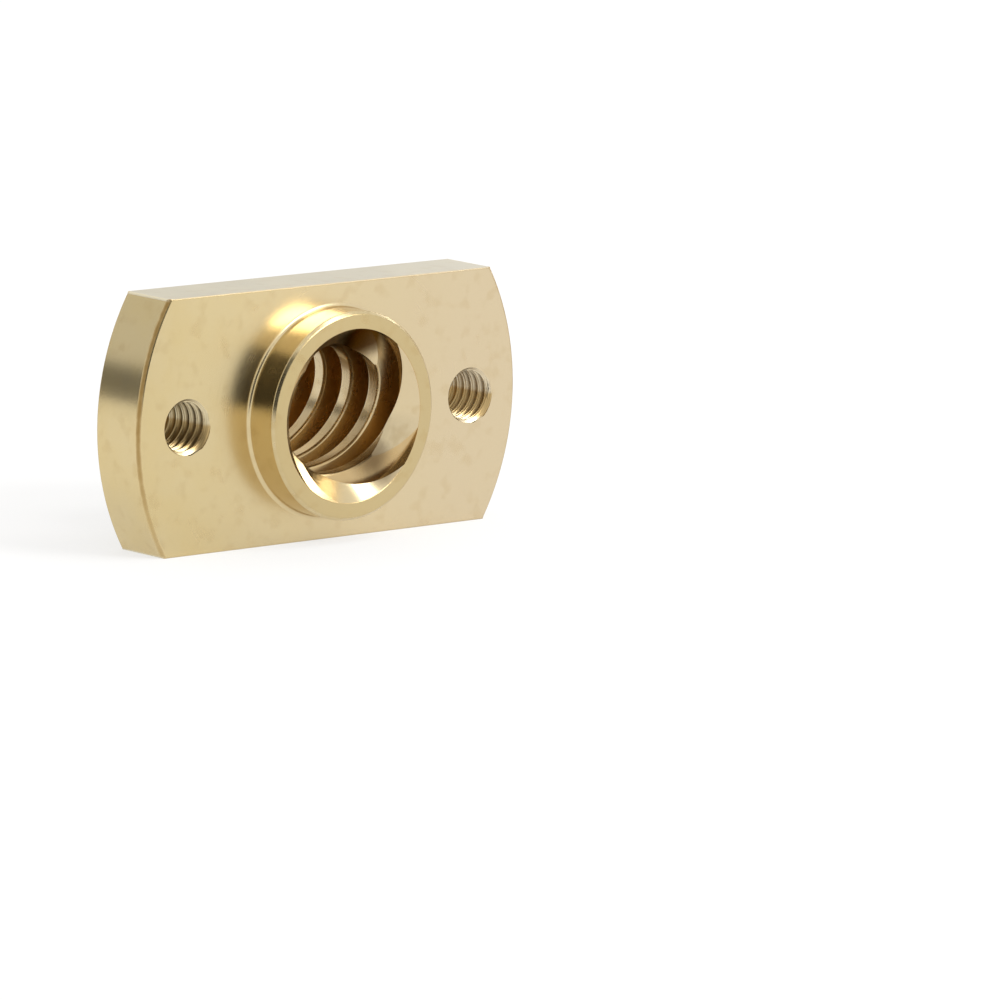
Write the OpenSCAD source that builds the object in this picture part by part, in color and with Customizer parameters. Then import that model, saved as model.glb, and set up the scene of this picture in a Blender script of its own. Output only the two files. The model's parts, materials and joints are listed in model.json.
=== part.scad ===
// Flanged nut for a four-start trapezoidal lead screw, turned from one piece of brass.
// The thread axis lies along Y, and the nut stands on the lower flat of its flange.
// The origin is on the thread axis, in the face of the flange that seats on the carriage.

/* [Flange] */
// Diameter of the turned flange, across its round ends
flange_d = 24; // [23:0.1:30]
// Width across the two milled flats
flats_w = 12.5; // [11.5:0.1:16]
// Thickness of the flange
flange_t = 3.2; // [2.5:0.1:6]
// Chamfer on both edges of each round end
rim_chamfer = 0.15; // [0.1:0.05:0.5]
// Broken edge along the milled flats
flat_break = 0.05; // [0.02:0.01:0.3]

/* [Boss and barrel] */
// Diameter of the short boss
boss_d = 10.2; // [9.6:0.1:11]
// Height of the short boss above the flange
boss_l = 1.8; // [1:0.1:4]
// Diameter of the long barrel
barrel_d = 10.2; // [9.6:0.1:11]
// Length of the long barrel beyond the flange
barrel_l = 5; // [3:0.1:12]
// Chamfer on the outer edge of the boss
boss_chamfer = 0.15; // [0.1:0.05:0.4]
// Chamfer on the outer edge of the barrel
barrel_chamfer = 0.25; // [0.1:0.05:0.4]
// Radius of the turned corner at the foot of the boss and the barrel
foot_fillet = 0.2; // [0.1:0.05:0.4]

/* [Lead screw thread] */
// Nominal diameter of the lead screw
screw_d = 8; // [7.8:0.1:8.2]
// Distance between neighbouring thread ridges
thread_pitch = 2; // [1.6:0.1:2.4]
// Number of thread starts
thread_starts = 4; // [2:1:4]
// Slope of each thread flank from the plane across the axis
flank_angle = 15; // [12:0.5:18]
// Amount by which the bore's radius exceeds the nominal radius of the thread crests
crest_allowance = 0.1; // [0:0.05:0.2]
// Clearance between the screw's crests and the bottom of the nut's grooves
root_clearance = 0.25; // [0.1:0.05:0.3]
// Angle at which the first groove meets the end of the boss
thread_phase = 25; // [0:1:89]
// Diameter of the cone that leads into the thread, at each end face
lead_in_d = 8.5; // [8:0.1:9]
// Slope of that cone from the thread axis
lead_in_angle = 45; // [30:1:60]

/* [Tapped holes] */
// Distance between the two tapped holes
tap_spacing = 18; // [16:0.1:19]
// Diameter of each hole at the crests of its M3 thread
tap_d = 2.5; // [2:0.1:3.2]

/* [Hidden] */

// How far each cutter runs past the surface it cuts
cut_over = 0.5;
// Facets of OpenSCAD's own preview for the outside, the bore and the small features
turned_fn = 120;
bore_fn = 96;
small_fn = 48;

boss_end = -flange_t - boss_l;
barrel_end = barrel_l;

// Thread form of the nut, by the proportions of a trapezoidal thread
crest_r = (screw_d - thread_pitch) / 2 + crest_allowance;
pitch_r = screw_d / 2 - thread_pitch / 4;
root_r = screw_d / 2 + root_clearance;
thread_lead = thread_pitch * thread_starts;
lead_in_depth = (lead_in_d / 2 - crest_r) / tan(lead_in_angle);

// The groove cutter runs past both end faces, and past the crest and root surfaces
cutter_start = boss_end - cut_over;
cutter_h = barrel_end - boss_end + 2 * cut_over;
groove_over = 0.4;
cutter_in_r = crest_r - groove_over;
cutter_out_r = root_r + groove_over / 2;
flank_steps = 3;
slice_turn = 8;
cutter_turn = 360 * cutter_h / thread_lead;

// Half the angle that a groove takes up at radius r
function groove_half_angle(r) =
    (thread_pitch / 4 - (r - pitch_r) * tan(flank_angle)) * 360 / thread_lead;
function on_circle(r, angle) = [r * cos(angle), r * sin(angle)];
function flank_r(step) = cutter_in_r + (cutter_out_r - cutter_in_r) * step / flank_steps;

// Section of all grooves at once: one tooth for each start, with curved flanks
groove_section = [
    for (start = [0 : thread_starts - 1], step = [-flank_steps - 1 : flank_steps])
        let (
            middle = start * 360 / thread_starts,
            leading = step >= 0,
            r = leading ? flank_r(flank_steps - step) : flank_r(step + flank_steps + 1),
            half = groove_half_angle(r)
        )
        on_circle(r, middle + (leading ? half : -half))
];

// Half outline of the turned blank, from the boss end to the barrel end
module blank_outline() {
    boss_r = boss_d / 2;
    barrel_r = barrel_d / 2;
    flange_r = flange_d / 2;
    difference() {
        polygon([
            [0, boss_end],
            [boss_r - boss_chamfer, boss_end],
            [boss_r, boss_end + boss_chamfer],
            [boss_r, -flange_t - foot_fillet],
            [boss_r + foot_fillet, -flange_t],
            [flange_r - rim_chamfer, -flange_t],
            [flange_r, -flange_t + rim_chamfer],
            [flange_r, -rim_chamfer],
            [flange_r - rim_chamfer, 0],
            [barrel_r + foot_fillet, 0],
            [barrel_r, foot_fillet],
            [barrel_r, barrel_end - barrel_chamfer],
            [barrel_r - barrel_chamfer, barrel_end],
            [0, barrel_end]
        ]);
        translate([boss_r + foot_fillet, -flange_t - foot_fillet]) circle(r = foot_fillet, $fn = small_fn);
        translate([barrel_r + foot_fillet, foot_fillet]) circle(r = foot_fillet, $fn = small_fn);
    }
}

module turned_blank() {
    rotate_extrude($fn = turned_fn) blank_outline();
}

// Milling cut that leaves one flat, with a broken edge on each side of it
module flat_cut() {
    half_w = flats_w / 2;
    outside = flange_d / 2 + cut_over;
    rotate([90, 0, 90])
        linear_extrude(height = 2 * outside, center = true)
            polygon([
                [half_w, -flange_t + flat_break],
                [half_w - flat_break, -flange_t],
                [outside, -flange_t - cut_over],
                [outside, cut_over],
                [half_w - flat_break, 0],
                [half_w, -flat_break]
            ]);
}

module thread_bore() {
    translate([0, 0, cutter_start]) cylinder(r = crest_r, h = cutter_h, $fn = bore_fn);
    intersection() {
        translate([0, 0, cutter_start]) cylinder(r = root_r, h = cutter_h, $fn = bore_fn);
        translate([0, 0, cutter_start])
            rotate([0, 0, thread_phase - 360 * cut_over / thread_lead])
                linear_extrude(height = cutter_h, twist = -cutter_turn, slices = ceil(cutter_turn / slice_turn))
                    polygon(groove_section);
    }
}

module lead_in(end, outward) {
    mouth_r = lead_in_d / 2;
    rotate_extrude($fn = bore_fn)
        polygon([
            [0, end + outward * cut_over],
            [mouth_r + cut_over * tan(lead_in_angle), end + outward * cut_over],
            [crest_r, end - outward * lead_in_depth],
            [0, end - outward * lead_in_depth]
        ]);
}

module tapped_holes() {
    for (side = [-1, 1])
        translate([side * tap_spacing / 2, 0, -flange_t - cut_over])
            cylinder(d = tap_d, h = flange_t + 2 * cut_over, $fn = small_fn);
}

module nut() {
    color([0.80, 0.68, 0.42])
        rotate([-90, 0, 0])
            difference() {
                turned_blank();
                for (side = [0, 180]) rotate([0, 0, side]) flat_cut();
                thread_bore();
                lead_in(boss_end, -1);
                lead_in(barrel_end, 1);
                tapped_holes();
            }
}

nut();
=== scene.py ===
import json
import math

import bmesh
import bpy
from mathutils import Matrix, Vector


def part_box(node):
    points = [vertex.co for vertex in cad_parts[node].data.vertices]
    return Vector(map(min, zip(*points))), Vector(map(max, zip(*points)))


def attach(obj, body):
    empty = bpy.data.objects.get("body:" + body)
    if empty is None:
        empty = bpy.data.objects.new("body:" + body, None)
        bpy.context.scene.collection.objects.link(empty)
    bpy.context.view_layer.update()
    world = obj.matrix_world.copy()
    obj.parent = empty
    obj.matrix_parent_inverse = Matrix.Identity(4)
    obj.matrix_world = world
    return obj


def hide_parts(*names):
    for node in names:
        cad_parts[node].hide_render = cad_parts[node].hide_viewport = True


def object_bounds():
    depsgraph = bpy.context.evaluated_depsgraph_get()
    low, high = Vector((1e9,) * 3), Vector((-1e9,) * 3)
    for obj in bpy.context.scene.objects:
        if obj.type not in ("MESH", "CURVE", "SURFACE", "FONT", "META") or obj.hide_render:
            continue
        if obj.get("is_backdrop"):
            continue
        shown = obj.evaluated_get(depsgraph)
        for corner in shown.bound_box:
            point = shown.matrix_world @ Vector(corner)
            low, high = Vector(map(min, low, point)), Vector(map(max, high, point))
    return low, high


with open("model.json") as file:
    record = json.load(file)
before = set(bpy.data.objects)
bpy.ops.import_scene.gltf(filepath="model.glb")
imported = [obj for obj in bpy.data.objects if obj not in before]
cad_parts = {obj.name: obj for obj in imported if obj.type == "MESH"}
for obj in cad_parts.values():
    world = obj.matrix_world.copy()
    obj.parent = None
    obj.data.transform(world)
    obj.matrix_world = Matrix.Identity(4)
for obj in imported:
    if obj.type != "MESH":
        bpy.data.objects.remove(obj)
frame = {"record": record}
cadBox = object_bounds()

# The nut is modelled in millimetres and brought to metres at the end.
millimetre = 0.001
mounts = {mount["name"]: mount for mount in frame["record"]["mounts"]}
nutLow, nutHigh = (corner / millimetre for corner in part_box("nut"))


def feed(tree, socket, value):
    if isinstance(value, bpy.types.NodeSocket):
        tree.links.new(value, socket)
    else:
        socket.default_value = value


def mathOf(tree, operation, *values):
    node = tree.nodes.new("ShaderNodeMath")
    node.operation = operation
    for socket, value in zip(node.inputs, values):
        feed(tree, socket, value)
    return node.outputs[0]


def calculator(tree):  # a short form of mathOf for one tree
    def calc(operation, *values):
        return mathOf(tree, operation, *values)
    return calc


def rampOf(tree, value, start, end, low=0.0, high=1.0, smooth=False):  # clamped at both ends
    node = tree.nodes.new("ShaderNodeMapRange")
    node.clamp = True
    if smooth:
        node.interpolation_type = "SMOOTHSTEP"
    parts = {"Value": value, "From Min": start, "From Max": end, "To Min": low, "To Max": high}
    for name, part in parts.items():
        feed(tree, node.inputs[name], part)
    return node.outputs[0]


def addObject(name, data):
    made = bpy.data.objects.new(name, data)
    bpy.context.scene.collection.objects.link(made)
    return made


def addShape(name, shape):  # a bmesh as an object of its own
    mesh = bpy.data.meshes.new(name)
    shape.to_mesh(mesh)
    shape.free()
    return addObject(name, mesh)


def bake(owner, name):  # the evaluated result as a plain mesh object
    bpy.context.view_layer.update()
    graph = bpy.context.evaluated_depsgraph_get()
    mesh = bpy.data.meshes.new_from_object(
        owner.evaluated_get(graph), preserve_all_data_layers=True, depsgraph=graph)
    mesh.name = name
    return addObject(name, mesh)


# Turned blank: everything but the threads

blank = {  # mm
    "flangeRadius": round(nutHigh.x, 2),
    "halfWidth": round(nutHigh.z, 3),
    "flangeThickness": -2 * mounts["carriage_screws"]["pos_m"][1] / millimetre,
    "barrelRadius": mounts["barrel"]["dims"]["r_mm"],
    "bossEnd": round(nutLow.y, 3),
    "barrelEnd": round(nutHigh.y, 3),
    "rimChamfer": 0.15,
    "flatChamfer": 0.04,
    "bossChamfer": 0.15,
    "barrelChamfer": 0.25,
    "footFillet": 0.2,
    "cornerRound": 0.18,
    "cornerSteps": 4,
    "coneMouth": 4.25,
    "coneEdge": 0.03,
    "boreRadius": mounts["lead_screw_thread"]["dims"]["r_mm"],
    "turnStep": 1.5,  # degrees
}


def flangeOutline(size, inset, flatInset):
    # points round one edge of the flange, each with a 0 to 1 share of how much it belongs to a flat
    radius = size["flangeRadius"] - inset
    height = size["halfWidth"] - flatInset
    corner = size["cornerRound"]
    cornerZ = height - corner
    cornerX = math.sqrt((radius - corner) ** 2 - cornerZ ** 2)
    rimEnd = math.atan2(cornerZ, cornerX)
    flatEnd = math.atan2(cornerX, height)
    step = math.radians(size["turnStep"])
    sharpEnd = math.asin(size["halfWidth"] / size["flangeRadius"])  # of a rim without rounded corners
    rimCount = 2 * round(sharpEnd / step)
    flatCount = 2 * round((math.pi / 2 - sharpEnd) / step)
    rounding = []
    for i in range(1, size["cornerSteps"]):
        share = i / size["cornerSteps"]
        angle = rimEnd + (math.pi / 2 - rimEnd) * share
        rounding.append((cornerX + corner * math.cos(angle), cornerZ + corner * math.sin(angle), share))
    half = []
    for i in range(rimCount + 1):
        angle = -rimEnd + 2 * rimEnd * i / rimCount
        half.append((radius * math.cos(angle), radius * math.sin(angle), 0.0))
    half += rounding
    for i in range(flatCount + 1):
        half.append((height * math.tan(flatEnd * (1 - 2 * i / flatCount)), height, 1.0))
    half += [(-x, z, share) for x, z, share in reversed(rounding)]
    return half + [(-x, -z, share) for x, z, share in half]


def softCorner(start, corner, end, steps=2):  # a small quadratic curve in place of a sharp corner
    points = []
    for i in range(steps + 1):
        t = i / steps
        points.append(tuple((1 - t) ** 2 * a + 2 * t * (1 - t) * b + t * t * c
                            for a, b, c in zip(start, corner, end)))
    return points


def chamferSteps(chamfer, softShare=0.3):
    # inward and downward distances from the sharp edge, across a chamfer with softened sides
    soft = chamfer * softShare
    diagonal = soft * math.sqrt(0.5)
    first = softCorner((chamfer + soft, 0), (chamfer, 0), (chamfer - diagonal, diagonal))
    return first + [(down, inward) for inward, down in reversed(first)]


def filletSteps(radius, steps=6):
    # outward and downward distances from the inner corner that a fillet fills
    angles = [math.pi / 2 * i / steps for i in range(steps + 1)]
    return [(radius * (1 - math.sin(angle)), radius * (1 - math.cos(angle))) for angle in angles]


def buildBlank(size):
    outer = flangeOutline(size, 0, 0)
    angles = [math.atan2(z, x) for x, z, share in outer]
    rings = []

    def circle(radius, y):
        rings.append([Vector((radius * math.cos(a), y, radius * math.sin(a))) for a in angles])

    def halfNut(end, face, inward, endRadius, chamfer):
        # inward is 1 or -1, the way along the axis from the end to the flange
        mouth = size["coneMouth"]
        edge = size["coneEdge"]
        slope = 0.7 * edge  # about the same length along the cone
        circle(size["boreRadius"], end + inward * (mouth - size["boreRadius"]))
        for radius, depth in softCorner((mouth - slope, slope), (mouth, 0), (mouth + edge, 0)):
            circle(radius, end + inward * depth)
        for inset, depth in chamferSteps(chamfer):
            circle(endRadius - inset, end + inward * depth)
        for out, back in filletSteps(size["footFillet"]):
            circle(endRadius + back, face - inward * out)
        steps = list(zip(chamferSteps(size["rimChamfer"]), chamferSteps(size["flatChamfer"])))
        for (rimInset, rimDepth), (flatInset, flatDepth) in steps:
            ring = [Vector((x, face + inward * (rimDepth + (flatDepth - rimDepth) * share), z))
                    for x, z, share in flangeOutline(size, rimInset, flatInset)]
            rings.append(ring)

    halfNut(size["bossEnd"], -size["flangeThickness"], 1, size["barrelRadius"], size["bossChamfer"])
    middle = len(rings)
    halfNut(size["barrelEnd"], 0, -1, size["barrelRadius"], size["barrelChamfer"])
    rings[middle:] = reversed(rings[middle:])

    shape = bmesh.new()
    rows = [[shape.verts.new(point) for point in ring] for ring in rings]
    for near, far in zip(rows, rows[1:] + rows[:1]):
        for i in range(len(near)):
            j = (i + 1) % len(near)
            shape.faces.new((near[i], near[j], far[j], far[i]))
    bmesh.ops.recalc_face_normals(shape, faces=shape.faces)
    return addShape("nutBlank", shape)


# Threads: one tree makes a cutter for any number of starts

leadScrewThread = {  # mm, and degrees
    "Starts": 4,
    "Pitch": 2.0,
    "Flank Angle": 15.0,
    "Pitch Radius": 3.5,
    "Root Radius": 4.25,
    "Crest Radius": blank["boreRadius"],
    "Crest Round": 0.14,
    "Hub Radius": 2.72,
    "Phase": 25.0,
    "Run Out": 0.5,
    "Slice Angle": 3.0,
    "Root Steps": 6,
    "Flank Steps": 10,
    "Hub Steps": 3,
}
screwThread = {
    "Starts": 1,
    "Pitch": 0.5,
    "Flank Angle": 30.0,
    "Pitch Radius": 1.3376,
    "Root Radius": 1.5,
    "Crest Radius": mounts["carriage_screws"]["dims"]["hole_r_mm"],
    "Crest Round": 0.03,
    "Hub Radius": 1.22,
    "Phase": 25.0,
    "Run Out": 0.4,
    "Slice Angle": 12.0,
    "Root Steps": 4,
    "Flank Steps": 10,
    "Hub Steps": 3,
}
holeX = mounts["carriage_screws"]["dims"]["spacing_x_mm"] / 2
holeMouths = {"depth": 0.12, "over": 0.3, "segments": 96}  # over is how far each cone runs past the flange


def threadTree():
    tree = bpy.data.node_groups.new("threadCutter", "GeometryNodeTree")
    face = tree.interface
    face.new_socket("Geometry", in_out="INPUT", socket_type="NodeSocketGeometry")
    for name in ("Starts", "Root Steps", "Flank Steps", "Hub Steps"):
        face.new_socket(name, in_out="INPUT", socket_type="NodeSocketInt")
    for name in ("Pitch", "Flank Angle", "Pitch Radius", "Root Radius", "Crest Radius", "Crest Round",
                 "Hub Radius", "Phase", "Slice Angle", "Run Out", "From", "To", "Centre X"):
        face.new_socket(name, in_out="INPUT", socket_type="NodeSocketFloat")
    face.new_socket("Material", in_out="INPUT", socket_type="NodeSocketMaterial")
    face.new_socket("Geometry", in_out="OUTPUT", socket_type="NodeSocketGeometry")
    given = tree.nodes.new("NodeGroupInput").outputs
    result = tree.nodes.new("NodeGroupOutput")
    calc = calculator(tree)

    def node(kind, **values):
        made = tree.nodes.new(kind)
        for name, value in values.items():
            feed(tree, made.inputs[name.replace("_", " ")], value)
        return made

    lead = calc("MULTIPLY", given["Pitch"], given["Starts"])
    period = calc("DIVIDE", math.tau, given["Starts"])
    tangent = calc("TANGENT", calc("RADIANS", given["Flank Angle"]))

    def halfGroove(radius):  # half the angle that a groove takes up at this radius
        width = calc("SUBTRACT", calc("DIVIDE", given["Pitch"], 4.0),
                     calc("MULTIPLY", calc("SUBTRACT", radius, given["Pitch Radius"]), tangent))
        return calc("DIVIDE", calc("MULTIPLY", width, math.tau), lead)

    roundFrom = calc("ADD", given["Crest Radius"], given["Crest Round"])
    crestAboveHub = calc("SUBTRACT", given["Crest Radius"], given["Hub Radius"])
    bendStart, bendEnd = 0.3, 0.8

    def onSlope(share):
        # radius and half angle of a flank, 0 at the root and 1 at the hub, bent round the crest's edge
        bend = rampOf(tree, share, bendStart, bendEnd, 0.0, math.pi / 2)
        straight = rampOf(tree, share, 0.0, bendStart, given["Root Radius"], roundFrom)
        rounded = calc("MULTIPLY", calc("SINE", bend), given["Crest Round"])
        inner = rampOf(tree, share, bendEnd, 1.0, 0.0, crestAboveHub)
        radius = calc("SUBTRACT", calc("SUBTRACT", straight, rounded), inner)
        wider = calc("MULTIPLY", calc("SUBTRACT", 1.0, calc("COSINE", bend)), given["Crest Round"])
        half = calc("ADD", halfGroove(radius), calc("DIVIDE", calc("MULTIPLY", wider, math.tau), lead))
        return radius, half

    rootHalf = halfGroove(given["Root Radius"])
    hubHalf = onSlope(1.0)[1]

    # the section: root, flank, hub and flank again, once for each start
    flankFrom = given["Root Steps"]
    hubFrom = calc("ADD", flankFrom, given["Flank Steps"])
    backFrom = calc("ADD", hubFrom, given["Hub Steps"])
    perStart = calc("ADD", backFrom, given["Flank Steps"])
    index = tree.nodes.new("GeometryNodeInputIndex").outputs[0]
    step = calc("FLOORED_MODULO", index, perStart)
    start = calc("FLOOR", calc("DIVIDE", calc("ADD", index, 0.5), perStart))
    onRoot = rampOf(tree, step, 0.0, flankFrom)
    onFlank = rampOf(tree, step, flankFrom, hubFrom)
    onHub = rampOf(tree, step, hubFrom, backFrom)
    onBack = rampOf(tree, step, backFrom, perStart)
    angle = calc("MULTIPLY", calc("SUBTRACT", calc("MULTIPLY", onRoot, 2.0), 2.0), rootHalf)
    angle = calc("ADD", angle, onSlope(onFlank)[1])
    hubAngle = calc("SUBTRACT", period, calc("MULTIPLY", hubHalf, 2.0))
    angle = calc("ADD", angle, calc("MULTIPLY", onHub, hubAngle))
    angle = calc("ADD", angle, calc("SUBTRACT", hubHalf, onSlope(calc("SUBTRACT", 1.0, onBack))[1]))
    angle = calc("ADD", angle, calc("MULTIPLY", start, period))
    angle = calc("ADD", angle, calc("RADIANS", given["Phase"]))
    radius = onSlope(calc("SUBTRACT", onFlank, onBack))[0]
    point = node("ShaderNodeCombineXYZ", X=calc("MULTIPLY", radius, calc("COSINE", angle)),
                 Y=calc("MULTIPLY", radius, calc("SINE", angle)))
    points = calc("MULTIPLY", perStart, given["Starts"])
    ring = node("GeometryNodeCurvePrimitiveCircle", Resolution=points, Radius=1.0)
    section = node("GeometryNodeSetPosition", Geometry=ring.outputs["Curve"], Position=point.outputs[0])

    # the path: along the axis, twisted by one turn for each lead
    begin = calc("SUBTRACT", given["From"], given["Run Out"])
    finish = calc("ADD", given["To"], given["Run Out"])
    turn = calc("DIVIDE", math.tau, lead)
    wholeTurn = calc("MULTIPLY", calc("SUBTRACT", finish, begin), turn)
    slices = calc("CEIL", calc("DIVIDE", wholeTurn, calc("RADIANS", given["Slice Angle"])))
    line = node("GeometryNodeCurvePrimitiveLine", Start=node("ShaderNodeCombineXYZ", Y=begin).outputs[0],
                End=node("ShaderNodeCombineXYZ", Y=finish).outputs[0])
    path = node("GeometryNodeResampleCurve", Curve=line.outputs[0], Count=calc("ADD", slices, 1.0))
    path = node("GeometryNodeSetCurveNormal", Curve=path.outputs[0])
    path.mode = "Z_UP"
    along = tree.nodes.new("GeometryNodeSplineParameter").outputs["Length"]
    tilt = calc("MULTIPLY", calc("SUBTRACT", along, given["Run Out"]), turn)
    path = node("GeometryNodeSetCurveTilt", Curve=path.outputs[0], Tilt=tilt)
    sweep = node("GeometryNodeCurveToMesh", Curve=path.outputs[0], Fill_Caps=True)
    feed(tree, sweep.inputs["Profile Curve"], section.outputs[0])
    moved = node("GeometryNodeTransform", Geometry=sweep.outputs[0],
                 Translation=node("ShaderNodeCombineXYZ", X=given["Centre X"]).outputs[0])
    real = node("GeometryNodeRealizeInstances", Geometry=moved.outputs[0])
    # the material stays empty here, as each face gets its finish after the cut
    painted = node("GeometryNodeSetMaterial", Geometry=real.outputs[0], Material=given["Material"])
    tree.links.new(painted.outputs[0], result.inputs[0])
    return tree


def buildCutter(name, tree, values, **places):
    carrier = addObject(name, bpy.data.meshes.new(name))
    modifier = carrier.modifiers.new("thread", "NODES")
    modifier.node_group = tree
    sockets = {item.name: item for item in tree.interface.items_tree if item.in_out == "INPUT"}
    for key, value in {**values, **places}.items():
        socket = sockets[key]
        modifier[socket.identifier] = value if socket.socket_type != "NodeSocketFloat" else float(value)
    cutter = bake(carrier, name + "Solid")
    bpy.data.objects.remove(carrier)
    return cutter


def buildMouths(size):  # shallow cones that break the mouths of the tapped holes
    shape = bmesh.new()
    depth, over = size["depth"], size["over"]
    narrow = screwThread["Crest Radius"]
    wide = narrow + depth + over
    for side in (-1, 1):
        for face, outward in ((-blank["flangeThickness"], -1), (0.0, 1)):
            turn = Matrix.Rotation(math.radians(90 * outward), 4, "X")
            middle = Vector((side * holeX, face + outward * (over - depth) / 2, 0))
            bmesh.ops.create_cone(shape, cap_ends=True, segments=size["segments"], radius1=wide,
                                  radius2=narrow, depth=over + depth,
                                  matrix=Matrix.Translation(middle) @ turn)
    return addShape("holeMouths", shape)


def cutWith(body, cutters):
    for cutter in cutters:
        modifier = body.modifiers.new(cutter.name, "BOOLEAN")
        modifier.operation = "DIFFERENCE"
        modifier.solver = "MANIFOLD"
        modifier.object = cutter
    result = bake(body, "nutCut")
    for spare in [body, *cutters]:
        bpy.data.objects.remove(spare)
    return result


nutBlank = buildBlank(blank)
print("blank turned and milled:", len(nutBlank.data.polygons), "faces")

threads = threadTree()
cutters = [buildCutter("leadScrewThread", threads, leadScrewThread, **{
    "From": blank["bossEnd"], "To": blank["barrelEnd"], "Centre X": 0.0})]
for side in (-1, 1):
    cutters.append(buildCutter("screwThread", threads, screwThread, **{
        "From": -blank["flangeThickness"], "To": 0.0, "Centre X": side * holeX}))
cutters.append(buildMouths(holeMouths))
for cutter in cutters:
    print("thread cutter:", cutter.name, len(cutter.data.polygons), "faces")
nutCut = cutWith(nutBlank, cutters)
print("threads cut:", len(nutCut.data.polygons), "faces")


# Finishes: colours are linear, lengths are in mm

brass = {
    "tint": (0.682, 0.554, 0.309),
    "warmTint": (0.690, 0.540, 0.260),
    "mildTint": (0.680, 0.560, 0.375),
    "paleTint": (0.79, 0.755, 0.62),
    # painted shade: a darker tint for the boss's end face
    "duskTint": (0.55, 0.425, 0.205),
    "wornTint": (0.80, 0.700, 0.480),
    # for real stains, and as painted shade in the lower half of the tapped holes
    "stainTint": (0.50, 0.345, 0.140),
    "grimeTint": (0.37, 0.23, 0.075),
    # painted shade in the grooves of the main thread and in the lower half of the bore
    "grooveTint": (0.55, 0.36, 0.14),
    # painted shade at the boss's mouth: a dark colour, and a dark tint on its reflections
    "oilTint": (0.075, 0.036, 0.012),
    "oilSheen": (0.20, 0.12, 0.06),
    "wornShare": 0.75,  # how far worn edges take on their tint
    "stainRoughness": 0.10,  # added to the finish's own
    "grimeRoughness": 0.30,
    "wornRoughness": 0.12,
}

noises = {  # scale for each mm, detail, and a shift that sets each noise apart
    "patches": (1 / 3.2, 3.0, 0.0),
    "specks": (1 / 0.9, 2.0, 7.0),
    "ragged": (2.3, 4.0, 3.0),
    "wander": (0.35, 1.0, 11.0),
    "fine": (5.0, 2.0, 5.0),
}

fades = {  # start and end in mm, or in parts of a noise, then the strength at each of them
    "worn": (0.05, 0.25, 1.0, 0.0),  # away from a bright edge
    "rimGrime": (0.13, 0.24, 0.85, 0.0),  # away from the edges of the round ends
    "lowGrime": (-4.5, 0.5, 0.4, 1.0),  # upwards: less of it low down
    "flatGrime": (0.03, 0.10, 0.2, 0.0),  # away from the edges of the flats
    "specks": (0.50, 0.72, 0.0, 1.0),
    "patches": (0.38, 0.64, 0.0, 1.0),
    "drift": (-6.0, 11.0, 0.0, 0.9),  # along the flange, to the mild tint
    "sump": (0.12, -0.12, 0.0, 1.0),  # painted shade, down into the lower half of a tapped hole
    "sumpFloor": (-1.30, -1.05, 0.15, 1.0),  # upwards: the painted shade leaves the bottom of the hole bright
    "groove": (0.05, 0.5, 0.0, 1.0),  # painted shade, outwards from the crests of the main thread
    "lowGroove": (-3.5, 2.5, 0.72, 1.0),  # upwards: more painted shade in the grooves higher up
    "lowBore": (-2.6, 0.4, 0.75, 0.0),  # upwards: painted shade over the lower half of the bore, none above
}

raggedWidth = 0.16  # how far noise moves the border of the wear
wanderWidths = {"feed": 0.10, "length": 0.02}  # how far it bends the cutting lines
mouthShadePatches = [  # painted shade: dark patches in the top and the bottom right of the boss's mouth
    {"x": 0.8, "z": 3.7, "reach": 1.7, "depth": 0.96},
    {"x": 2.0, "z": -2.4, "reach": 1.3, "depth": 0.75},
]

# the lines of a finish follow the cut: round the axis on turned work, along the feed on milled work
finishes = {
    "turnedFace": {"lines": "radius", "lineSpacing": 0.10, "lineDepth": 0.0008, "grain": 0.0004,
                   "roughness": 0.25, "variation": 0.05, "brushed": 0.55, "stain": 0.16, "warmth": 0.45},
    # the boss's end face takes painted shade, a darker tint
    "turnedEnd": {"lines": "radius", "lineSpacing": 0.10, "lineDepth": 0.0008, "grain": 0.0005,
                  "roughness": 0.24, "variation": 0.04, "brushed": 0.55, "stain": 0.25, "warmth": 0.50,
                  "dusk": 0.75},
    # the cone takes the painted shade at the boss's mouth
    "turnedCone": {"lines": "radius", "lineSpacing": 0.10, "lineDepth": 0.0008, "grain": 0.0005,
                   "roughness": 0.20, "variation": 0.04, "brushed": 0.40, "stain": 0.25, "warmth": 0.40,
                   "pools": mouthShadePatches},
    "turnedSide": {"lines": "length", "lineSpacing": 0.11, "lineDepth": 0.0006, "grain": 0.0003,
                   "roughness": 0.14, "variation": 0.04, "brushed": 0.45, "stain": 0.20, "warmth": 0.55},
    "turnedRim": {"lines": "length", "lineSpacing": 0.13, "lineDepth": 0.0016, "grain": 0.0008,
                  "roughness": 0.20, "variation": 0.05, "brushed": 0.45, "stain": 0.20, "warmth": 0.45},
    "milledFlat": {"lines": "feed", "lineSpacing": 0.16, "lineDepth": 0.0014, "grain": 0.0008,
                   "roughness": 0.31, "variation": 0.06, "brushed": 0.35, "stain": 0.12, "warmth": 0.0,
                   "pale": 0.68},
    # the cut thread takes painted shade in its grooves, in the lower half of the bore and at the boss's mouth
    "cutThread": {"lines": "helix", "lineSpacing": 0.12, "lineDepth": 0.0006, "grain": 0.0008,
                  "roughness": 0.26, "variation": 0.05, "brushed": 0.30, "stain": 0.30, "warmth": 0.65,
                  "groove": 0.78, "pools": mouthShadePatches},
    # the tapped holes take painted shade in their lower half
    "tappedThread": {"lines": "length", "lineSpacing": 0.09, "lineDepth": 0.0004, "grain": 0.0003,
                     "roughness": 0.36, "variation": 0.05, "brushed": 0.30, "stain": 0.10, "warmth": 0.30,
                     "pale": 0.25, "sump": 0.9},
}


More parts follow.
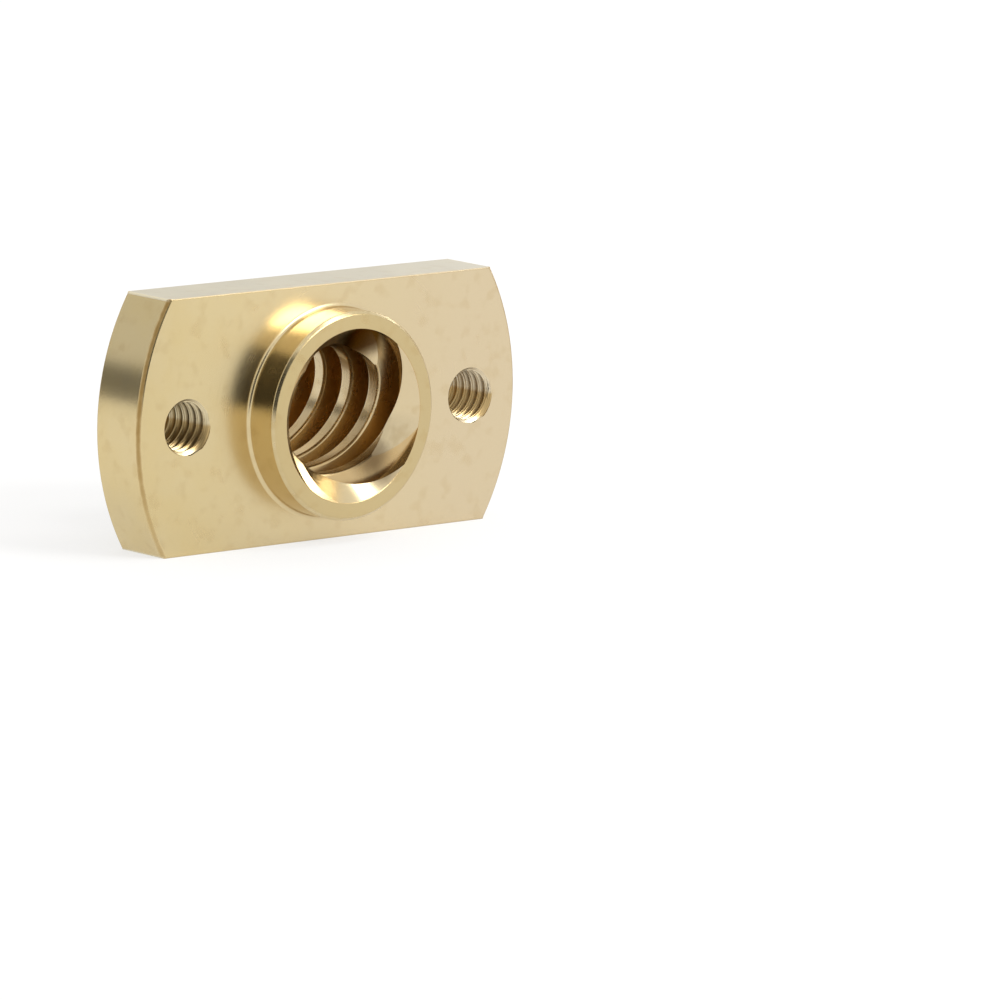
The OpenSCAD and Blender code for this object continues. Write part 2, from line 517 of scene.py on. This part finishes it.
def noiseOf(tree, place, name):
    scale, detail, shift = noises[name]
    moved = tree.nodes.new("ShaderNodeVectorMath")
    moved.operation = "ADD"
    feed(tree, moved.inputs[0], place)
    moved.inputs[1].default_value = (shift, shift * 0.7, -shift)
    made = tree.nodes.new("ShaderNodeTexNoise")
    feed(tree, made.inputs["Vector"], moved.outputs[0])
    made.inputs["Scale"].default_value = scale
    made.inputs["Detail"].default_value = detail
    return made.outputs["Fac"]


def fadeOf(tree, value, name, strength=1.0, offset=0.0, smooth=True):
    start, end, low, high = fades[name]
    return rampOf(tree, value, start + offset, end + offset, low * strength, high * strength, smooth)


def blendOf(tree, amount, first, second):  # each colour is a value or a socket
    made = tree.nodes.new("ShaderNodeMix")
    made.data_type = "RGBA"
    colours = [socket for socket in made.inputs if socket.type == "RGBA"]
    feed(tree, made.inputs[0], amount)
    for socket, value in zip(colours, (first, second)):
        feed(tree, socket, value if isinstance(value, bpy.types.NodeSocket) else (*value, 1.0))
    return next(socket for socket in made.outputs if socket.type == "RGBA")


def distanceOf(tree, first, second):  # in a plane
    squares = [mathOf(tree, "MULTIPLY", part, part) for part in (first, second)]
    return mathOf(tree, "SQRT", mathOf(tree, "ADD", *squares))


def nearestOf(tree, distances):
    least = distances[0]
    for other in distances[1:]:
        least = mathOf(tree, "MINIMUM", least, other)
    return least


def surfaceOf(tree):  # where a point of the surface lies, in mm
    coords = tree.nodes.new("ShaderNodeTexCoord")
    scale = tree.nodes.new("ShaderNodeVectorMath")
    scale.operation = "SCALE"
    feed(tree, scale.inputs[0], coords.outputs["Object"])
    scale.inputs["Scale"].default_value = 1 / millimetre
    split = tree.nodes.new("ShaderNodeSeparateXYZ")
    feed(tree, split.inputs[0], scale.outputs[0])
    x, y, z = split.outputs
    return {"place": scale.outputs[0], "x": x, "y": y, "z": z, "radius": distanceOf(tree, x, z)}


def edgeMasks(tree, at):  # 0 to 1, for edges that handling keeps bright and for edges that hold dirt
    calc = calculator(tree)

    def fromRing(radius, level):
        return distanceOf(tree, calc("SUBTRACT", at["radius"], radius), calc("SUBTRACT", at["y"], level))

    faces = (-blank["flangeThickness"], 0.0)
    corner = math.sqrt(blank["flangeRadius"] ** 2 - blank["halfWidth"] ** 2)
    overFlat = calc("SUBTRACT", calc("ABSOLUTE", at["z"]), blank["halfWidth"])
    overCorner = calc("SUBTRACT", calc("ABSOLUTE", at["x"]), corner)
    bright = [fromRing(blank["barrelRadius"], end) for end in (blank["bossEnd"], blank["barrelEnd"])]
    bright.append(distanceOf(tree, overFlat, overCorner))
    rims = [fromRing(blank["flangeRadius"], face) for face in faces]
    flats = [distanceOf(tree, overFlat, calc("SUBTRACT", at["y"], face)) for face in faces]

    ragged = calc("MULTIPLY", noiseOf(tree, at["place"], "ragged"), raggedWidth)
    worn = fadeOf(tree, calc("ADD", nearestOf(tree, bright), ragged), "worn")
    byRim = calc("ADD", nearestOf(tree, rims), calc("MULTIPLY", ragged, 0.5))
    lessBelow = fadeOf(tree, at["z"], "lowGrime", smooth=False)
    grime = calc("MULTIPLY", fadeOf(tree, byRim, "rimGrime"), lessBelow)
    grime = calc("MAXIMUM", grime, fadeOf(tree, nearestOf(tree, flats), "flatGrime"))
    return worn, grime


def mouthShadeMask(tree, at, specks, pools):  # 0 to 1, where painted shade darkens the boss's mouth
    calc = calculator(tree)
    mask = 0.0
    fromEnd = calc("MULTIPLY", calc("SUBTRACT", at["y"], blank["bossEnd"]), 0.5)
    for pool in pools:
        aside = distanceOf(tree, calc("SUBTRACT", at["x"], pool["x"]), calc("SUBTRACT", at["z"], pool["z"]))
        reach = calc("ADD", distanceOf(tree, aside, fromEnd), calc("MULTIPLY", specks, 0.5))
        inner, outer = pool["reach"] * 0.6, pool["reach"] * 1.3
        mask = calc("MAXIMUM", mask, rampOf(tree, reach, inner, outer, pool["depth"], 0.0, True))
    return mask


def paintBrass(tree, shader, at, finish, masks):
    calc = calculator(tree)

    def layer(amount, tint):
        return blendOf(tree, amount, colour, brass[tint])

    z = at["z"]
    warm = fadeOf(tree, masks["patches"], "patches", finish["warmth"])
    drift = calc("ADD", at["x"], calc("MULTIPLY", masks["patches"], 5.0))
    colour = blendOf(tree, warm, brass["tint"], brass["warmTint"])
    colour = layer(fadeOf(tree, drift, "drift", smooth=False), "mildTint")
    colour = layer(finish.get("pale", 0.0), "paleTint")
    # painted shade on the boss's end face
    colour = layer(finish.get("dusk", 0.0), "duskTint")
    colour = layer(masks["stain"], "stainTint")
    colour = layer(masks["grime"], "grimeTint")
    if "sump" in finish:  # painted shade in the lower half of the tapped holes
        holeShadeAmount = fadeOf(tree, z, "sump", finish["sump"])
        colour = layer(calc("MULTIPLY", holeShadeAmount, fadeOf(tree, z, "sumpFloor")), "stainTint")
    if "groove" in finish:  # painted shade deep in the thread, and all over the lower half of the bore
        deepShade = fadeOf(tree, at["radius"], "groove", finish["groove"], blank["boreRadius"])
        deepShade = calc("MULTIPLY", deepShade, fadeOf(tree, z, "lowGroove", smooth=False))
        colour = layer(calc("MAXIMUM", deepShade, fadeOf(tree, z, "lowBore", finish["groove"])), "grooveTint")
    # painted shade at the boss's mouth, darkening both the colour and the tint of its reflections
    if "pools" in finish:
        mouthShade = mouthShadeMask(tree, at, masks["specks"], finish["pools"])
        colour = layer(mouthShade, "oilTint")
        feed(tree, shader.inputs["Specular Tint"], blendOf(tree, mouthShade, (1.0, 1.0, 1.0), brass["oilSheen"]))
    colour = layer(calc("MULTIPLY", masks["worn"], brass["wornShare"]), "wornTint")
    feed(tree, shader.inputs["Base Color"], colour)


def acrossLines(tree, at, kind):  # a distance that grows from one cutting line to the next
    if kind == "radius":
        return at["radius"]
    if kind == "helix":  # along the grooves of the main thread
        lead = leadScrewThread["Pitch"] * leadScrewThread["Starts"]
        turned = mathOf(tree, "MULTIPLY", mathOf(tree, "ARCTAN2", at["z"], at["x"]), lead / math.tau)
        return mathOf(tree, "ADD", at["y"], turned)
    wander = mathOf(tree, "MULTIPLY", noiseOf(tree, at["place"], "wander"), wanderWidths[kind])
    return mathOf(tree, "ADD", at["y"], wander)


def brassMaterial(name, finish):
    material = bpy.data.materials.new(name)
    material.use_nodes = True
    tree = material.node_tree
    shader = tree.nodes["Principled BSDF"]
    shader.inputs["Metallic"].default_value = 1.0
    calc = calculator(tree)
    at = surfaceOf(tree)
    worn, grime = edgeMasks(tree, at)
    patches = noiseOf(tree, at["place"], "patches")
    specks = noiseOf(tree, at["place"], "specks")
    stain = calc("MAXIMUM", fadeOf(tree, specks, "specks", finish["stain"]), grime)
    paintBrass(tree, shader, at, finish, {
        "worn": worn, "grime": grime, "stain": stain, "patches": patches, "specks": specks})

    lines = tree.nodes.new("ShaderNodeTexNoise")
    lines.noise_dimensions = "1D"
    across = acrossLines(tree, at, finish["lines"])
    feed(tree, lines.inputs["W"], calc("DIVIDE", across, finish["lineSpacing"]))
    lines.inputs["Scale"].default_value = 1.0
    lines.inputs["Detail"].default_value = 2.0
    line = lines.outputs["Fac"]
    bump = tree.nodes.new("ShaderNodeBump")
    bump.inputs["Distance"].default_value = millimetre
    grain = calc("MULTIPLY", noiseOf(tree, at["place"], "fine"), finish["grain"])
    feed(tree, bump.inputs["Height"], calc("ADD", calc("MULTIPLY", line, finish["lineDepth"]), grain))
    feed(tree, shader.inputs["Normal"], bump.outputs[0])

    rough = finish["roughness"]
    shares = ((calc("SUBTRACT", patches, 0.5), finish["variation"] * 2),
              (calc("SUBTRACT", line, 0.5), finish["variation"]),
              (stain, brass["stainRoughness"]),
              (grime, brass["grimeRoughness"]),
              (worn, brass["wornRoughness"]))
    for value, share in shares:
        rough = calc("ADD", rough, calc("MULTIPLY", value, share))
    feed(tree, shader.inputs["Roughness"], rough)

    # reflections spread across the cutting lines
    shader.inputs["Anisotropic"].default_value = finish["brushed"]
    spread = tree.nodes.new("ShaderNodeCombineXYZ")
    if finish["lines"] == "radius":
        feed(tree, spread.inputs["X"], at["x"])
        feed(tree, spread.inputs["Z"], at["z"])
    else:
        spread.inputs["Y"].default_value = 1.0
    unit = tree.nodes.new("ShaderNodeVectorMath")
    unit.operation = "NORMALIZE"
    feed(tree, unit.inputs[0], spread.outputs[0])
    feed(tree, shader.inputs["Tangent"], unit.outputs[0])
    return material


def finishOf(middle, normal):  # which finish a face of the nut was left with
    near = 0.01
    across = abs(normal.y)
    radius = math.hypot(middle.x, middle.z)
    fromHole = math.hypot(abs(middle.x) - holeX, middle.z)
    fromPlane = min(abs(middle.y), abs(middle.y + blank["flangeThickness"]))
    onPlane = across > 0.995 and fromPlane < near
    if not onPlane and fromHole < screwThread["Root Radius"] + 0.15:
        return "tappedThread"
    if radius < blank["coneMouth"] + 2 * near:
        depth = min(middle.y - blank["bossEnd"], blank["barrelEnd"] - middle.y)
        slanted = 0.6 < across < 0.8  # about 45 degrees
        if slanted and abs(radius - (blank["coneMouth"] - depth)) < 2 * near:
            return "turnedCone"
        if radius < blank["coneMouth"]:
            return "cutThread"
    if -blank["flangeThickness"] + near < middle.y < -near and radius > blank["barrelRadius"] + 1:
        upright = abs(middle.z) > blank["halfWidth"] - 0.17 and abs(normal.z) > 0.6
        return "milledFlat" if upright else "turnedRim"
    if radius < blank["barrelRadius"] + near and across > 0.5:
        return "turnedEnd"
    return "turnedFace" if across > 0.5 else "turnedSide"


def isPlane(face):  # part of an end, of a side of the flange or of a flat
    levels = {"y": (blank["bossEnd"], -blank["flangeThickness"], 0.0, blank["barrelEnd"]),
              "z": (-blank["halfWidth"], blank["halfWidth"])}
    middle = face.calc_center_median()
    for axis, places in levels.items():
        gap = min(abs(getattr(middle, axis) - at) for at in places)
        if abs(getattr(face.normal, axis)) > 0.9999 and gap < 0.002:
            return True
    return False


def finishNut(cut, mergeWithin=0.0001, sharpFrom=28):  # mm, and degrees
    shape = bmesh.new()
    shape.from_mesh(cut.data)
    bmesh.ops.remove_doubles(shape, verts=shape.verts, dist=mergeWithin)
    names = list(finishes)
    for face in shape.faces:
        face.smooth = True
        face.material_index = names.index(finishOf(face.calc_center_median(), face.normal))
    flat = {face for face in shape.faces if isPlane(face)}
    for line in shape.edges:
        onePlane = sum(face in flat for face in line.link_faces) == 1
        gentle = line.calc_face_angle(0.0) < math.radians(sharpFrom)
        line.smooth = line.is_manifold and not onePlane and gentle
    cut.data.materials.clear()
    for name in names:
        cut.data.materials.append(brassMaterial(name, finishes[name]))
    shape.to_mesh(cut.data)
    shape.free()
    weighted = cut.modifiers.new("weightedNormals", "WEIGHTED_NORMAL")
    weighted.keep_sharp = True
    weighted.weight = 60
    nut = bake(cut, "nutBody")
    bpy.data.objects.remove(cut)
    nut.data.transform(Matrix.Scale(millimetre, 4))
    return nut


nutBody = finishNut(nutCut)
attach(nutBody, "root")
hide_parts("nut")
print("nut finished:", len(nutBody.data.polygons), "faces")


# Studio: distances in metres, directions in degrees round the nut from the boss side

def direction(azimuth, elevation):
    a, e = math.radians(azimuth), math.radians(elevation)
    return Vector((math.sin(a) * math.cos(e), -math.cos(a) * math.cos(e), math.sin(e)))


def facing(azimuth, elevation, distance, roll=0.0):  # a place round the nut, with its -Z axis towards the nut
    back = direction(azimuth, elevation)
    turn = (-back).to_track_quat("-Z", "Y").to_matrix().to_4x4()
    return Matrix.Translation(back * distance) @ turn @ Matrix.Rotation(math.radians(roll), 4, "Z")


floorLook = {"size": 3.0, "colour": (0.98, 0.98, 0.975), "whiteShare": 0.66}
worldLook = {"fill": 0.82, "colour": (1.0, 0.99, 0.975)}  # the fill lights the floor, as metal only reflects
softBoxes = {  # power is in watts for each square metre of box
    "keyBox": {"azimuth": 26, "elevation": 33.5, "roll": -27, "distance": 0.5,
               "width": 0.26, "height": 0.14, "power": 25.6},
    "highBox": {"azimuth": 45, "elevation": 60, "roll": 0, "distance": 0.5,
                "width": 0.16, "height": 0.12, "power": 16.0},
    "sideBox": {"azimuth": 113, "elevation": 14, "roll": 0, "distance": 0.6,
                "width": 0.22, "height": 0.22, "power": 16.0},
}
cards = {  # grey, with edges that fade over a width of their own
    "leftBand": {"azimuth": -138, "elevation": 2, "distance": 0.50,
                 "width": 0.50, "height": 0.17, "shade": 0.18, "fade": 0.03},
    "leftSky": {"azimuth": -132, "elevation": 32, "distance": 0.55,
                "width": 0.60, "height": 0.50, "shade": 0.74, "fade": 0.03},
    "backBand": {"azimuth": 150, "elevation": 6, "distance": 0.60,
                 "width": 0.30, "height": 0.18, "shade": 0.45, "fade": 0.03},
}
nearCard = {  # dark and slanted, close to the boss, whose left side and foot mirror it
    "azimuth": -41, "distance": 0.015, "right": -0.0008, "up": 0.0068, "roll": -17,
    "width": 0.0100, "height": 0.0142, "shade": 0.01, "fade": 0.0017,
}


def whiteWhereSeen(tree):  # 1 for what the camera, a reflection or glass sees
    path = tree.nodes.new("ShaderNodeLightPath").outputs
    return mathOf(tree, "MAXIMUM", path["Is Camera Ray"],
                  mathOf(tree, "MAXIMUM", path["Is Glossy Ray"], path["Is Transmission Ray"]))


def shade(tree, kind, **values):
    node = tree.nodes.new(kind)
    for name, value in values.items():
        feed(tree, node.inputs[name], value)
    return node.outputs[0]


def mixShaders(tree, amount, first, second):
    node = tree.nodes.new("ShaderNodeMixShader")
    for socket, value in zip(node.inputs, (amount, first, second)):
        feed(tree, socket, value)
    return node.outputs[0]


def freshTree(owner, kind):
    owner.use_nodes = True
    owner.node_tree.nodes.clear()
    return owner.node_tree, owner.node_tree.nodes.new(kind)


def makePlane(name, width, height, place):
    mesh = bpy.data.meshes.new(name)
    corners = [(x * width / 2, y * height / 2, 0) for x, y in ((-1, -1), (1, -1), (1, 1), (-1, 1))]
    mesh.from_pydata(corners, [], [(0, 1, 2, 3)])
    plane = addObject(name, mesh)
    plane.matrix_world = place
    plane.data.materials.append(bpy.data.materials.new(name))
    plane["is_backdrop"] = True
    return plane


def layFloor(look):
    floor = makePlane("floor", look["size"], look["size"], Matrix.Translation((0, 0, nutLow.z * millimetre)))
    tree, output = freshTree(floor.data.materials[0], "ShaderNodeOutputMaterial")
    lit = shade(tree, "ShaderNodeBsdfDiffuse", Color=(*look["colour"], 1))
    white = shade(tree, "ShaderNodeEmission", Color=(1, 1, 1, 1), Strength=1.0)
    share = mathOf(tree, "MULTIPLY", whiteWhereSeen(tree), look["whiteShare"])
    tree.links.new(mixShaders(tree, share, lit, white), output.inputs[0])


def lightWorld(look):
    world = bpy.data.worlds.new("studio")
    bpy.context.scene.world = world
    tree, output = freshTree(world, "ShaderNodeOutputWorld")
    fill = shade(tree, "ShaderNodeBackground", Color=(*look["colour"], 1), Strength=look["fill"])
    white = shade(tree, "ShaderNodeBackground", Color=(1, 1, 1, 1), Strength=1.0)
    tree.links.new(mixShaders(tree, whiteWhereSeen(tree), fill, white), output.inputs[0])


def hangSoftBox(name, look):
    light = bpy.data.lights.new(name, "AREA")
    light.shape = "RECTANGLE"
    light.size, light.size_y = look["width"], look["height"]
    light.energy = look["power"] * look["width"] * look["height"]
    lamp = addObject(name, light)
    lamp.matrix_world = facing(look["azimuth"], look["elevation"], look["distance"], look["roll"])
    lamp.visible_camera = False


def standCard(name, look, place):  # a card with soft edges that only reflections see
    card = makePlane(name, look["width"], look["height"], place)
    for ray in ("camera", "diffuse", "transmission", "volume_scatter", "shadow"):
        setattr(card, "visible_" + ray, False)
    tree, output = freshTree(card.data.materials[0], "ShaderNodeOutputMaterial")
    split = tree.nodes.new("ShaderNodeSeparateXYZ")
    feed(tree, split.inputs[0], tree.nodes.new("ShaderNodeTexCoord").outputs["Object"])
    sides = []
    for along, size in zip(split.outputs, (look["width"], look["height"])):
        fromMiddle = mathOf(tree, "ABSOLUTE", along)
        sides.append(rampOf(tree, fromMiddle, size / 2, size / 2 - look["fade"], 0.0, 1.0, True))
    grey = shade(tree, "ShaderNodeEmission", Color=(*(look["shade"],) * 3, 1), Strength=1.0)
    clear = shade(tree, "ShaderNodeBsdfTransparent")
    tree.links.new(mixShaders(tree, mathOf(tree, "MULTIPLY", *sides), clear, grey), output.inputs[0])


def nearPlace(look):  # upright, facing the axis of the nut from the side that the camera is on
    back = direction(look["azimuth"], 0)
    right = Vector((-back.y, back.x, 0))
    axes = Matrix((right, Vector((0, 0, 1)), back)).transposed().to_4x4()
    middle = back * look["distance"] + right * look["right"] + Vector((0, 0, look["up"]))
    return Matrix.Translation(middle) @ axes @ Matrix.Rotation(math.radians(look["roll"]), 4, "Z")


layFloor(floorLook)
lightWorld(worldLook)
for boxName, boxLook in softBoxes.items():
    hangSoftBox(boxName, boxLook)
for cardName, cardLook in cards.items():
    standCard(cardName, cardLook, facing(cardLook["azimuth"], cardLook["elevation"], cardLook["distance"]))
standCard("nearCard", nearCard, nearPlace(nearCard))
bpy.context.scene.view_settings.view_transform = "Standard"
print("studio set:", len(softBoxes), "soft boxes and", len(cards) + 1, "cards")


# Camera: aimed a little past the nut, as it sits left of the middle

cameraLook = {
    "azimuth": -41.0,
    "elevation": 9.26,
    "roll": 1.43,
    "distance": 0.450,
    "lens": 335.7,
    "sensor": 36.0,
    "aimRight": 8.22,  # mm, from the middle of the boss side of the flange
    "aimDown": 4.29,
}


def placeCamera(look):
    data = bpy.data.cameras.new("camera")
    data.lens, data.sensor_width = look["lens"], look["sensor"]
    data.clip_start, data.clip_end = 0.01, 10.0
    camera = addObject("camera", data)
    back = direction(look["azimuth"], look["elevation"])
    a, roll = math.radians(look["azimuth"]), math.radians(look["roll"])
    level = Vector((math.cos(a), math.sin(a), 0))
    upright = back.cross(level)
    right = math.cos(roll) * level + math.sin(roll) * upright
    up = -math.sin(roll) * level + math.cos(roll) * upright
    pivot = Vector((0, -blank["flangeThickness"] * millimetre, 0))
    eye = pivot + back * look["distance"]
    aim = pivot + (right * look["aimRight"] - up * look["aimDown"]) * millimetre
    backward = (eye - aim).normalized()
    sideways = up.cross(backward).normalized()
    camera.matrix_world = Matrix.Translation(eye) @ Matrix(
        (sideways, backward.cross(sideways), backward)).transposed().to_4x4()
    bpy.context.scene.camera = camera


placeCamera(cameraLook)

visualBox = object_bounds()
boxes = {"cad": cadBox, "visual": visualBox}
{name: [list(corner) for corner in box] for name, box in boxes.items()}
print("boxes written:", [round(v / millimetre, 3) for corner in visualBox for v in corner])
